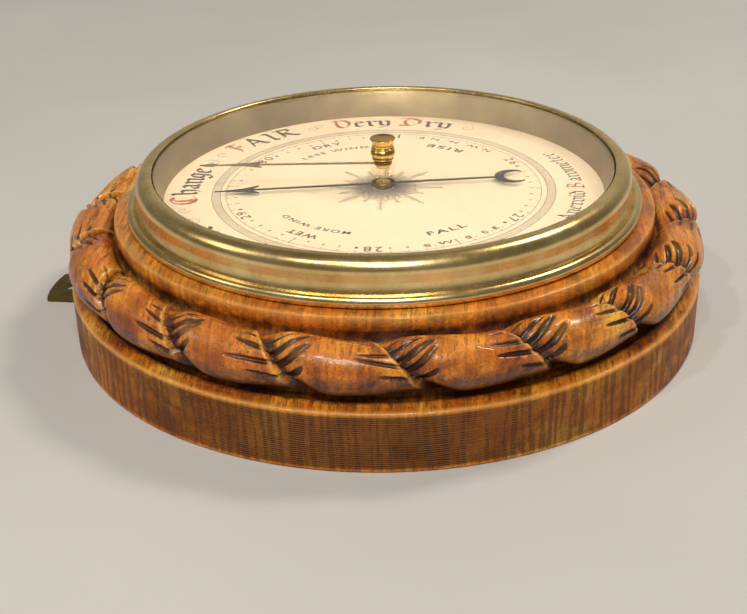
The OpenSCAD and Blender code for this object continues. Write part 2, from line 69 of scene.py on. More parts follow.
ROPE_SECTION_R = 12.0
ROPE_RING_R = CASE_HIGH.x - ROPE_SECTION_R
ROPE_Z = 42.0
CASE_R = CASE_HIGH.x - 1.0
SEAT_Z = CASE_HIGH.z
SEAT_R = 127.5
BASE_H = 27.0
BORE_R = 109.0
BACK_BORE_R = 98.0
BACK_BORE_H = 9.5
BEZEL_FOOT_R = 113.8
SPINDLE_R = 1.95
GLASS_HOLE_R = 2.0
CARD_HOLE_R = 4
HANGER_TURN = math.radians(-3.5)
HANGER_HALF_WIDTH = 14
HANGER_RECESS_IN, HANGER_RECESS_OUT = 116, 180
CUTTER_PLAY = 0.15

# ---------------------------------------------------------------- mesh helpers


def arc(centre_r, centre_z, radius, start, end, steps=12):
    """Points of an arc in a lathe's section, angles in degrees."""
    angles = [math.radians(start + (end - start) * i / steps) for i in range(steps + 1)]
    return [(centre_r + radius * math.cos(a), centre_z + radius * math.sin(a)) for a in angles]


def fine(points, step=1.0):
    """The same outline with its straight stretches cut into pieces of about one step."""
    made = []
    for (r0, z0), (r1, z1) in zip(points, points[1:] + points[:1]):
        pieces = max(1, round(math.dist((r0, z0), (r1, z1)) / step))
        made += [(r0 + (r1 - r0) * i / pieces, z0 + (z1 - z0) * i / pieces) for i in range(pieces)]
    return made


def make_object(name, mesh, material, body, replaced=()):
    """Links a mesh as a piece of the barometer."""
    piece = bpy.data.objects.new(name, mesh)
    bpy.context.scene.collection.objects.link(piece)
    mesh.materials.clear()
    mesh.materials.append(material)
    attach(piece, body)
    if replaced:
        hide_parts(*replaced)
    return piece


def smooth(mesh, angle=35):
    """Smooth shading that keeps edges sharper than the angle."""
    mesh.polygons.foreach_set("use_smooth", [True] * len(mesh.polygons))
    mesh.set_sharp_from_angle(angle=math.radians(angle))
    mesh.update()


def ring_grid(points):
    """A closed mesh from points[row, column, xyz] in millimetres that wraps both ways."""
    rows, columns = points.shape[:2]
    index = np.arange(rows * columns).reshape(rows, columns)
    down, right = np.roll(index, -1, 0), np.roll(index, -1, 1)
    corner = np.roll(down, -1, 1)
    faces = np.stack([index, right, corner, down], -1).reshape(-1, 4)
    mesh = bpy.data.meshes.new("ring_grid")
    mesh.from_pydata((points.reshape(-1, 3) * MM).tolist(), [], faces.tolist())
    return mesh


def clean(mesh):
    """Joins the points that a section's end on the axis leaves in one place."""
    work = bmesh.new()
    work.from_mesh(mesh)
    bmesh.ops.remove_doubles(work, verts=work.verts, dist=1e-7)
    bmesh.ops.recalc_face_normals(work, faces=work.faces)
    work.to_mesh(mesh)
    work.free()


def lathe(section, columns=360, sharp=35):
    """A turned solid: a closed section of (radius, height) points swept round Z."""
    section = np.array(section)
    turn = np.linspace(0, 2 * math.pi, columns, endpoint=False)
    points = np.zeros((len(section), columns, 3))
    points[..., 0] = section[:, :1] * np.cos(turn)
    points[..., 1] = section[:, :1] * np.sin(turn)
    points[..., 2] = section[:, 1:]
    mesh = ring_grid(points)
    clean(mesh)
    smooth(mesh, sharp)
    return mesh


def join(meshes, name):
    """One mesh from several."""
    work = bmesh.new()
    for mesh in meshes:
        work.from_mesh(mesh)
        bpy.data.meshes.remove(mesh)
    joined = bpy.data.meshes.new(name)
    work.to_mesh(joined)
    work.free()
    return joined


def slab(outline, low, high):
    """A flat plate from an outline of (x, y) points."""
    work = bmesh.new()
    verts = [work.verts.new((x * MM, y * MM, low * MM)) for x, y in outline]
    face = work.faces.new(verts)
    made = bmesh.ops.extrude_face_region(work, geom=[face])
    top = [v for v in made["geom"] if isinstance(v, bmesh.types.BMVert)]
    bmesh.ops.translate(work, verts=top, vec=(0, 0, (high - low) * MM))
    bmesh.ops.recalc_face_normals(work, faces=work.faces)
    mesh = bpy.data.meshes.new("slab")
    work.to_mesh(mesh)
    work.free()
    return mesh


def cut(piece, cutter):
    """Takes the cutter's shape out of a piece, for good."""
    tool = piece.modifiers.new("cut", "BOOLEAN")
    tool.operation = "DIFFERENCE"
    tool.solver = "EXACT"
    tool.object = cutter
    bpy.context.view_layer.update()
    result = bpy.data.meshes.new_from_object(piece.evaluated_get(bpy.context.evaluated_depsgraph_get()))
    piece.modifiers.clear()
    piece.data = result
    bpy.data.objects.remove(cutter)


# ---------------------------------------------------------------- material helpers


def tone(red, green, blue):
    """A display colour of 0 to 255 as the linear colour that a shader takes."""
    shares = [value / 255 for value in (red, green, blue)]
    linear = [v / 12.92 if v <= 10 / 255 else ((v + 0.055) / 1.055) ** 2.4 for v in shares]
    return (*linear, 1.0)


class Shader:
    """A node material that is put together step by step."""

    def __init__(self, name, **surface):
        self.material = bpy.data.materials.new(name)
        self.material.use_nodes = True
        self.tree = self.material.node_tree
        self.surface = self.tree.nodes["Principled BSDF"]
        for socket, value in surface.items():
            self.surface.inputs[socket.replace("_", " ")].default_value = value
        self.where = self.tree.nodes.new("ShaderNodeTexCoord").outputs["Object"]

    def node(self, kind, **settings):
        """A new node with its settings."""
        made = self.tree.nodes.new(kind)
        for key, value in settings.items():
            setattr(made, key, value)
        return made

    def link(self, source, target):
        """Joins an output to a socket, or sets the socket to a plain value."""
        if hasattr(source, "is_output"):
            self.tree.links.new(source, target)
        else:
            target.default_value = source

    def stretched(self, scale, turn=(0, 0, 0)):
        """The place on the object, stretched by a scale for each axis."""
        made = self.node("ShaderNodeMapping")
        self.link(self.where, made.inputs["Vector"])
        made.inputs["Scale"].default_value = scale
        made.inputs["Rotation"].default_value = [math.radians(a) for a in turn]
        return made.outputs["Vector"]

    def noise(self, scale, detail=4.0, roughness=0.5, place=None, distortion=0.0):
        """Fractal noise from 0 to 1."""
        made = self.node("ShaderNodeTexNoise")
        self.link(place or self.where, made.inputs["Vector"])
        made.inputs["Scale"].default_value = scale
        made.inputs["Detail"].default_value = detail
        made.inputs["Roughness"].default_value = roughness
        made.inputs["Distortion"].default_value = distortion
        return made.outputs["Fac"]

    def cells(self, scale):
        """Distance from the nearest of many scattered points."""
        made = self.node("ShaderNodeTexVoronoi", feature="F1")
        self.link(self.where, made.inputs["Vector"])
        made.inputs["Scale"].default_value = scale
        return made.outputs["Distance"]

    def waves(self, scale, place, distortion, detail):
        """Wavering bands across Y of the place."""
        made = self.node("ShaderNodeTexWave", bands_direction="Y")
        self.link(place, made.inputs["Vector"])
        made.inputs["Scale"].default_value = scale
        made.inputs["Distortion"].default_value = distortion
        made.inputs["Detail"].default_value = detail
        return made.outputs["Fac"]

    def ramp(self, value, *stops):
        """Colours or greys along a value: stops are (position, colour or grey)."""
        made = self.node("ShaderNodeValToRGB")
        made.color_ramp.interpolation = "LINEAR"
        ends = made.color_ramp.elements
        for i, (position, colour) in enumerate(stops):
            end = ends[i] if i < 2 else ends.new(position)
            end.position = position
            end.color = colour if hasattr(colour, "__len__") else (colour, colour, colour, 1)
        self.link(value, made.inputs["Fac"])
        return made.outputs["Color"]

    def sum(self, operation, a, b=0.0, clamp=False):
        """One step of arithmetic."""
        made = self.node("ShaderNodeMath", operation=operation, use_clamp=clamp)
        self.link(a, made.inputs[0])
        self.link(b, made.inputs[1])
        return made.outputs[0]

    def mix(self, share, a, b):
        """Two colours mixed: a share of 0 is all the first, 1 all the second."""
        made = self.node("ShaderNodeMix", data_type="RGBA", blend_type="MIX")
        self.link(share, made.inputs[0])
        first, second = [i for i in made.inputs if i.type == "RGBA"]
        self.link(a, first)
        self.link(b, second)
        return next(o for o in made.outputs if o.type == "RGBA")

    def attribute(self, name):
        """A number that paint() wrote on the mesh."""
        return self.node("ShaderNodeAttribute", attribute_name=name).outputs["Fac"]

    def part(self, axis):
        """One coordinate of the place on the object."""
        made = self.node("ShaderNodeSeparateXYZ")
        self.link(self.where, made.inputs[0])
        return made.outputs[axis]

    def bump(self, height, distance, strength=1.0, under=None):
        """Small relief, over another relief if there is one under it."""
        made = self.node("ShaderNodeBump")
        made.inputs["Distance"].default_value = distance
        made.inputs["Strength"].default_value = strength
        self.link(height, made.inputs["Height"])
        if under is not None:
            self.link(under, made.inputs["Normal"])
        return made.outputs["Normal"]

    def finish(self, colour, roughness, normal=None):
        """Wires up the surface and gives the material."""
        for socket, value in (("Base Color", colour), ("Roughness", roughness), ("Normal", normal)):
            if value is not None:
                self.link(value, self.surface.inputs[socket])
        return self.material


# ---------------------------------------------------------------- materials


def oak(name, coat, shine):
    """Oak with its length along X, stained and waxed, dark where it is carved, with painted shade under and
    beside the rope, upright sides darkened partly by stain and partly as painted shade, and lighter edges and
    tops, partly wear and partly painted highlight.
    """
    s = Shader(name, Coat_Weight=coat, Coat_Roughness=0.16, Specular_IOR_Level=shine)
    end_face = s.attribute("end_grain")
    cloud = s.noise(34, 5, 0.66, s.stretched((0.6, 1, 1.2)), 0.6)
    streak = s.noise(75, 5, 0.70, s.stretched((0.14, 1, 1)), 0.7)
    growth = s.waves(92, s.stretched((0.10, 1, 0.22), (7, 0, 0)), 9.0, 4.0)
    rings = s.noise(330, 4, 0.60, s.stretched((0.03, 1, 0.08), (7, 0, 0)), 0.30)
    rings = s.sum("ADD", s.sum("MULTIPLY", growth, 0.17), s.sum("MULTIPLY", rings, 0.83))
    rays = s.waves(330, s.stretched((0.02, 0.1, 1), (-90, 0, 0)), 4.0, 3.0)
    flecks = s.noise(1350, 3, 0.7, s.stretched((0.08, 1, 1)))
    ring_dark = s.ramp(rings, (0.47, 0.0), (0.56, 1.0))
    ray_light = s.ramp(rays, (0.62, 0.0), (0.86, 1.0))
    pore_dark = s.ramp(flecks, (0.52, 0.0), (0.62, 1.0))
    pore_rows = s.sum("MULTIPLY", pore_dark, s.ramp(rings, (0.36, 0.3), (0.55, 1.0)))
    plain = s.ramp(
        cloud, (0.34, tone(178, 86, 14)), (0.44, tone(222, 120, 24)),
        (0.53, tone(250, 156, 42)), (0.64, tone(255, 190, 74)))
    plain = s.mix(s.ramp(streak, (0.46, 0.0), (0.64, 0.75)), plain, tone(138, 62, 12))
    smudge = s.ramp(s.noise(52, 6, 0.78), (0.53, 0.0), (0.66, 0.72))
    plain = s.mix(smudge, plain, tone(70, 34, 22))
    # The upright sides take a darker tone: partly stain, partly painted shade on faces that turn away from
    # the light above.
    side_cloud = s.ramp(s.noise(22, 4, 0.6), (0.40, 0.0), (0.58, 1.0))
    side_dark = s.mix(side_cloud, tone(120, 74, 34), tone(50, 26, 13))
    sides_stained_and_shaded = s.mix(s.sum("MULTIPLY", s.attribute("plain_side"), 0.9), plain, side_dark)
    ring_share = s.sum("ADD", s.sum("MULTIPLY", end_face, 0.6), 0.05)
    veined = s.mix(s.sum("MULTIPLY", ring_dark, ring_share), sides_stained_and_shaded, tone(44, 21, 9))
    pored = s.mix(s.sum("MULTIPLY", pore_rows, 0.66), veined, tone(64, 24, 6))
    gaps = s.sum("MULTIPLY", ray_light, s.ramp(rings, (0.40, 0.35), (0.52, 1.0)))
    rayed = s.mix(s.sum("MULTIPLY", gaps, s.sum("MULTIPLY", end_face, 0.6)), pored, tone(172, 112, 58))
    # Dark where the attribute says: patina in the carved hollows, and painted shade under the rope, on its
    # inner side and on the cove beside it.
    patina_and_shade = s.attribute("patina_and_shade")
    broken = s.sum("SUBTRACT", s.noise(150, 5, 0.72), 0.5)
    reach = s.sum("MULTIPLY", s.ramp(patina_and_shade, (0.02, 0.0), (0.25, 1.0)), 1.3)
    stain_and_shade = s.sum("ADD", patina_and_shade, s.sum("MULTIPLY", broken, reach), True)
    stain_and_shade = s.ramp(stain_and_shade, (0.18, 0.0), (0.78, 1.0))
    dark = s.ramp(s.noise(70, 3), (0.38, tone(24, 11, 7)), (0.55, tone(50, 25, 18)), (0.70, tone(98, 62, 56)))
    colour = s.mix(s.sum("MULTIPLY", stain_and_shade, 0.94), rayed, dark)
    # Lighter where the attribute says: partly wear on arrises and lip edges, partly painted highlight on lobe
    # crowns and the ring's top.
    colour = s.mix(s.sum("MULTIPLY", s.attribute("wear_and_highlight"), 0.7), colour, tone(255, 186, 92))
    rough = s.ramp(s.noise(60, 4, 0.6), (0.3, 0.26), (0.7, 0.46))
    rough = s.mix(s.attribute("plain_side"), rough, (0.62, 0.62, 0.62, 1))
    hollows = s.sum("ADD", pore_rows, s.sum("MULTIPLY", ring_dark, s.sum("MULTIPLY", end_face, 0.4)))
    fine_grain = s.bump(hollows, 0.0004, 0.5)
    fine_grain.node.invert = True
    hand_cut = s.bump(s.noise(150, 4, 0.65), 0.0016, 0.45, fine_grain)
    return s.finish(colour, rough, hand_cut)


def brass(name, light, deep, roughness=(0.1, 0.22), speckle=0.5, turned=0.0, tarnish=None):
    """Brass with cloudy tone, dark speckles and, if turned, fine rings round Z."""
    s = Shader(name, Metallic=1.0)
    cloud = s.noise(26, 4, 0.6)
    tint = s.ramp(cloud, (0.32, deep), (0.62, light))
    spots = s.ramp(s.cells(620), (0.10, 1.0), (0.20, 0.0))
    where = s.ramp(s.noise(60, 5, 0.7), (0.50, 0.0), (0.62, 1.0))
    spots = s.sum("MULTIPLY", s.sum("MULTIPLY", spots, where), speckle)
    tint = s.mix(spots, tint, tarnish or tone(70, 44, 22))
    film = s.ramp(s.noise(90, 5, 0.65), (0.52, 0.0), (0.78, 0.5 * speckle))
    tint = s.mix(film, tint, tarnish or tone(98, 64, 30))
    rough = s.ramp(s.noise(150, 5, 0.7), (0.3, roughness[0]), (0.7, roughness[1]))
    rough = s.mix(spots, rough, (0.6, 0.6, 0.6, 1))
    height = s.noise(900, 3, 0.6)
    if turned:
        x, y, z = (s.part(axis) for axis in "XYZ")
        out = s.sum("SQRT", s.sum("ADD", s.sum("MULTIPLY", x, x), s.sum("MULTIPLY", y, y)))
        place = s.node("ShaderNodeCombineXYZ")
        s.link(out, place.inputs[0])
        s.link(z, place.inputs[1])
        height = s.noise(turned, 2, 0.5, place.outputs[0])
    normal = s.bump(height, 0.0001, 0.12)
    return s.finish(tint, rough, normal)


def steel(name, light=(0.60, 0.60, 0.60, 1), deep=(0.42, 0.42, 0.43, 1), roughness=(0.18, 0.34)):
    """Bright steel with fine brushed lines and faint spots."""
    s = Shader(name, Metallic=1.0)
    lines = s.noise(700, 3, 0.6, s.stretched((0.08, 1, 1)))
    tint = s.ramp(s.noise(40, 4, 0.6), (0.3, deep), (0.7, light))
    tint = s.mix(s.ramp(s.noise(300, 4, 0.7), (0.6, 0.0), (0.75, 0.5)), tint, tone(80, 60, 44))
    rough = s.ramp(lines, (0.3, roughness[0]), (0.7, roughness[1]))
    return s.finish(tint, rough, s.bump(lines, 0.00005, 0.2))


def blued_steel():
    """The indicating hand's heat-blued steel, almost black."""
    s = Shader("blued_steel", Metallic=0.3, Specular_IOR_Level=0.3)
    tint = s.ramp(s.noise(60, 4, 0.6), (0.35, tone(18, 17, 20)), (0.65, tone(34, 33, 40)))
    rough = s.ramp(s.noise(220, 4, 0.6), (0.3, 0.36), (0.7, 0.52))
    return s.finish(tint, rough, s.bump(s.noise(1200, 2), 0.00004, 0.2))


def capsule_metal():
    """Soldered nickel-silver sheet."""
    s = Shader("capsule_metal", Metallic=1.0)
    tint = s.ramp(s.noise(30, 4, 0.6), (0.35, tone(168, 162, 148)), (0.65, tone(206, 202, 190)))
    rough = s.ramp(s.noise(180, 4, 0.7), (0.3, 0.24), (0.7, 0.42))
    return s.finish(tint, rough, s.bump(s.noise(600, 3), 0.00008, 0.2))


def leather():
    """Thin oiled leather washers."""
    s = Shader("leather")
    tint = s.ramp(s.noise(400, 4, 0.6), (0.35, tone(38, 24, 16)), (0.65, tone(72, 48, 32)))
    rough = s.ramp(s.noise(500, 3), (0.3, 0.5), (0.7, 0.75))
    return s.finish(tint, rough, s.bump(s.cells(1800), 0.00012, 0.4))


def glass():
    """Clear plate glass that lets lamps through to the dial."""
    s = Shader("glass", Transmission_Weight=1.0, IOR=1.5)
    s.surface.inputs["Base Color"].default_value = (0.975, 0.985, 0.98, 1)
    rough = s.ramp(s.noise(90, 4, 0.6), (0.45, 0.0), (0.85, 0.03))
    s.link(rough, s.surface.inputs["Roughness"])
    clear = s.node("ShaderNodeBsdfTransparent")
    clear.inputs["Color"].default_value = (0.96, 0.97, 0.965, 1)
    path = s.node("ShaderNodeLightPath")
    either = s.node("ShaderNodeMixShader")
    s.link(path.outputs["Is Shadow Ray"], either.inputs["Fac"])
    s.link(s.surface.outputs[0], either.inputs[1])
    s.link(clear.outputs[0], either.inputs[2])
    s.link(either.outputs[0], s.tree.nodes["Material Output"].inputs["Surface"])
    return s.material


def card():
    """Ivory printed card, faintly mottled and foxed."""
    s = Shader("card_ivory", Specular_IOR_Level=0.3)
    tint = s.ramp(s.noise(14, 5, 0.6), (0.3, tone(220, 196, 160)), (0.7, tone(228, 206, 172)))
    foxing = s.ramp(s.noise(46, 6, 0.75), (0.62, 0.0), (0.80, 0.35))
    tint = s.mix(foxing, tint, tone(214, 170, 112))
    edge = s.attribute("edge")
    tint = s.mix(s.sum("MULTIPLY", edge, 0.35), tint, tone(206, 164, 112))
    fibre = s.noise(1400, 4, 0.7)
    rough = s.ramp(fibre, (0.3, 0.55), (0.7, 0.68))
    return s.finish(tint, rough, s.bump(fibre, 0.00003, 0.25))


def ink(name, colour, worn):
    """Printing ink, a little uneven."""
    s = Shader(name, Specular_IOR_Level=0.25)
    tint = s.ramp(s.noise(700, 4, 0.7), (0.35, colour), (0.75, worn))
    rough = s.ramp(s.noise(900, 3), (0.3, 0.5), (0.7, 0.65))
    return s.finish(tint, rough)


def floor_paper():
    """Pale, plain backdrop paper."""
    s = Shader("floor_paper", Specular_IOR_Level=0.2)
    tint = s.ramp(s.noise(4, 3), (0.3, tone(204, 203, 200)), (0.7, tone(212, 211, 208)))
    return s.finish(tint, s.ramp(s.noise(300, 3), (0.3, 0.7), (0.7, 0.8)))


OAK = oak("oak_waxed", 0.5, 0.35)
OAK_DULL = oak("oak_dull", 0.0, 0.2)
BEZEL_BRASS = brass("bezel_brass", tone(250, 222, 158), tone(220, 188, 120), (0.20, 0.30), 0.6, 2600)
KNOB_BRASS = brass("knob_brass", tone(232, 200, 124), tone(200, 164, 90), (0.18, 0.28), 0.3, 2600)
HAND_BRASS = brass("set_hand_brass", tone(176, 144, 80), tone(128, 98, 50), (0.22, 0.36), 0.5)
HANGER_BRASS = brass(
    "hanger_brass", tone(150, 124, 66), tone(104, 84, 42), (0.35, 0.55), 0.9, 0, tone(60, 50, 30))
SCREW_BRASS = brass("screw_brass", tone(210, 170, 98), tone(168, 126, 64), (0.15, 0.3), 0.5)
DRUM_BRASS = brass("drum_brass", tone(196, 160, 104), tone(156, 122, 74), (0.26, 0.40), 0.4, 1400)
WALL_BRASS = brass("wall_brass", tone(172, 150, 106), tone(136, 114, 76), (0.40, 0.55), 0.5, 1400)
MOVEMENT_BRASS = brass("movement_brass", tone(216, 178, 106), tone(180, 140, 76), (0.2, 0.34), 0.3)
STEEL = steel("steel")
SPRING_STEEL = steel("spring_steel", (0.34, 0.36, 0.42, 1), (0.22, 0.23, 0.28, 1), (0.2, 0.34))
BLUED = blued_steel()
CAPSULE = capsule_metal()
LEATHER = leather()
GLASS = glass()
CARD = card()
BLACK_INK = ink("ink_black", tone(44, 36, 28), tone(88, 76, 62))
RED_INK = ink("ink_red", tone(150, 62, 30), tone(184, 104, 58))
GREY_INK = ink("ink_grey", tone(118, 108, 92), tone(160, 146, 124))
FLOOR = floor_paper()

NODE_MATERIALS = {
    "oak": OAK, "hanger_brass": HANGER_BRASS, "screw_brass": SCREW_BRASS, "drum_brass": DRUM_BRASS,
    "bezel_brass": BEZEL_BRASS, "knob_brass": KNOB_BRASS, "set_hand_brass": HAND_BRASS,
    "washer": LEATHER, "glass": GLASS, "dial_card": CARD, "movement_brass": MOVEMENT_BRASS,
    "capsule_metal": CAPSULE, "steel": STEEL, "spring_steel": SPRING_STEEL, "blued_steel": BLUED,
}
for subpart in frame["record"]["subparts"]:
    node = NODES[subpart["node"]]
    node.data.materials.clear()
    node.data.materials.append(NODE_MATERIALS[subpart["material_slot"]])
    smooth(node.data, 30)


# ---------------------------------------------------------------- oak case

LOBES = 18
FOOT_TURN = 11.7
LOBE_TURN = 360 / LOBES
SLANT = 10.6
ROPE_TOP, ROPE_FOOT = 155.0, -75.0
GROOVE_DEPTH = 4.6
SHOULDER_DEPTH = 1.7


def paint(mesh, name, values):
    """Writes one number a point for a material to read."""
    layer = mesh.attributes.new(name, "FLOAT", "POINT")
    layer.data.foreach_set("value", np.asarray(values, np.float32).ravel())


def ease(value):
    """A smooth step from 0 to 1."""
    value = np.clip(value, 0, 1)
    return value * value * (3 - 2 * value)


def gouge(along, across, start, heading, length, width, depth):
    """Depth of one gouge cut at points in a flat (along the ring, down the rope) map, in millimetres."""
    c, s = math.cos(math.radians(heading)), math.sin(math.radians(heading))
    forward = ((along - start[0]) * c + (across - start[1]) * s) / length
    sideways = (-(along - start[0]) * s + (across - start[1]) * c) / (width / 2)
    taper = np.sqrt(np.clip(1 - np.clip(forward, 0, None) ** 2.4, 0, 1))
    taper *= ease((forward + 0.12) / 0.12)
    spread = np.clip(1 - (sideways / np.clip(0.35 + 0.65 * taper, 0.35, 1)) ** 2, 0, 1)
    return depth * np.sqrt(spread) * taper


def rope_border(draw):
    """The carved rope: a ring with eighteen slanting lobes, grooves between them and gouge cuts."""
    per_lobe = 80
    share = np.arange(per_lobe) / per_lobe
    share = share - 0.075 * np.sin(2 * math.pi * share)
    rows = np.concatenate([np.linspace(-88, 168, 124), np.linspace(180, 262, 6)])
    feet = np.array([FOOT_TURN + LOBE_TURN * k + draw.uniform(-1.1, 1.1) for k in range(LOBES)])
    gaps = np.append(feet[1:], feet[0] + 360) - feet
    turn_at_foot = (feet[:, None] + gaps[:, None] * share).ravel()
    lobe = np.repeat(np.arange(LOBES), per_lobe)
    along_lobe = np.tile(share, LOBES)
    ring_arc = math.radians(1) * ROPE_RING_R
    down = math.radians(1) * ROPE_SECTION_R
    theta = rows[:, None]
    lean = SLANT * np.clip((ROPE_TOP - theta) / (ROPE_TOP - ROPE_FOOT), 0, 1.06) - SLANT
    turn = turn_at_foot[None, :] + lean
    height = np.clip(ROPE_TOP - theta, 0, 250) * down + 0 * turn
    gap = gaps[lobe] * ring_arc
    right = along_lobe[None, :] * gap + 0 * turn
    left = gap - right
    square = math.cos(math.atan2(SLANT * ring_arc, (ROPE_TOP - ROPE_FOOT) * down))
    rise = GROOVE_DEPTH * (1 - ease(right * square / 13)) ** 1.3
    fall = SHOULDER_DEPTH * ease((right * square - 14) / 26)
    lip = (GROOVE_DEPTH - SHOULDER_DEPTH) * (1 - ease(left * square / 1.6))
    depth = np.maximum(rise, fall + lip)
    fade = ease((ROPE_TOP + 8 - theta) / 45) * 0.75 + 0.25
    depth = depth * fade
    cuts = np.zeros_like(depth)
    slope = SLANT * ring_arc / ((ROPE_TOP - ROPE_FOOT) * down)
    flat_right = right + slope * height
    flat_left = -left + slope * height
    for k in range(LOBES):
        mine = lobe == k
        for i in range(5):
            at = 8.5 + 6.9 * i + draw.uniform(-0.8, 0.8)
            start = (slope * at + 0.6, at)
            heading = -14 - 10 * i + draw.uniform(-5, 5)
            length = (12, 15.5, 17, 16, 12)[i] * draw.uniform(0.9, 1.15)
            width = (2.6, 3.2, 3.7, 3.8, 3.4)[i] * draw.uniform(0.85, 1.12)
            deep = (1.0, 1.7, 2.2, 2.3, 1.9)[i] * draw.uniform(0.9, 1.1)
            made = gouge(flat_right[:, mine], height[:, mine], start, heading, length, width, deep)
            cuts[:, mine] = np.maximum(cuts[:, mine], made)
        for i in range(4):
            at = 14 + 6.9 * i + draw.uniform(-0.9, 0.9)
            start = (slope * at - 0.8, at)
            heading = 180 + 8 + draw.uniform(-7, 7)
            length = (10, 15, 17, 14)[i] * draw.uniform(0.85, 1.15)
            width = 2.5 * draw.uniform(0.8, 1.2)
            deep = (0.8, 1.3, 1.6, 1.4)[i] * draw.uniform(0.9, 1.1)
            made = gouge(flat_left[:, mine], height[:, mine], start, heading, length, width, deep)
            cuts[:, mine] = np.maximum(cuts[:, mine], made)
        for i in range(7):
            at = draw.uniform(6, 36)
            start = (slope * at - draw.uniform(3, 20), at)
            heading = 180 + draw.uniform(-22, 26)
            made = gouge(flat_left[:, mine], height[:, mine], start, heading, draw.uniform(6, 13), 1.0, 0.3)
            cuts[:, mine] = np.maximum(cuts[:, mine], made)
    swell = 0.25 * np.sin(np.radians(turn * 7 + 40)) + 0.15 * np.sin(np.radians(turn * 13 + theta))
    radius = ROPE_SECTION_R - 0.35 - depth - cuts + np.minimum(swell, 0.3)
    section_turn = np.radians(theta)
    points = np.zeros((*turn.shape, 3))
    ring = ROPE_RING_R + radius * np.cos(section_turn)
    points[..., 0] = ring * np.cos(np.radians(turn))
    points[..., 1] = ring * np.sin(np.radians(turn))
    points[..., 2] = ROPE_Z + radius * np.sin(section_turn)
    mesh = ring_grid(points)
    smooth(mesh, 70)
    close = ease(1.1 - right * square / 6.5) * ease((height - 3) / 9) * 0.9
    sharp_side = ease(1 - left * square / 1.4) * 0.6
    # Painted shade: the rope's underside and its inner side against the cove are darkened as if shadowed.
    under = 0.55 * ease((-theta + 16) / 34) + 0.6 * ease((-theta - 26) / 30) + ease((theta - 132) / 20) * 0.8
    in_cut = np.clip((cuts - 0.12) / 0.7, 0, 1)
    paint(mesh, "patina_and_shade", np.clip(np.maximum.reduce([close, sharp_side, in_cut, under + 0 * turn]), 0, 1))
    paint(mesh, "end_grain", 0.25 + 0 * turn)
    paint(mesh, "plain_side", 0 * turn)
    # Painted highlight on the upper face of each lobe's crown; the ridge along the groove's lip is lighter
    # partly from wear, partly as painted highlight.
    crown_highlight = 0.25 * ease((2.2 - depth) / 2.2) * ease(1 - np.abs(theta - 55) / 50)
    ridge = 0.8 * np.exp(-((left * square - 1.7) / 0.7) ** 2) * ease((theta + 40) / 40)
    paint(mesh, "wear_and_highlight", np.clip(crown_highlight + ridge, 0, 1))
    return mesh


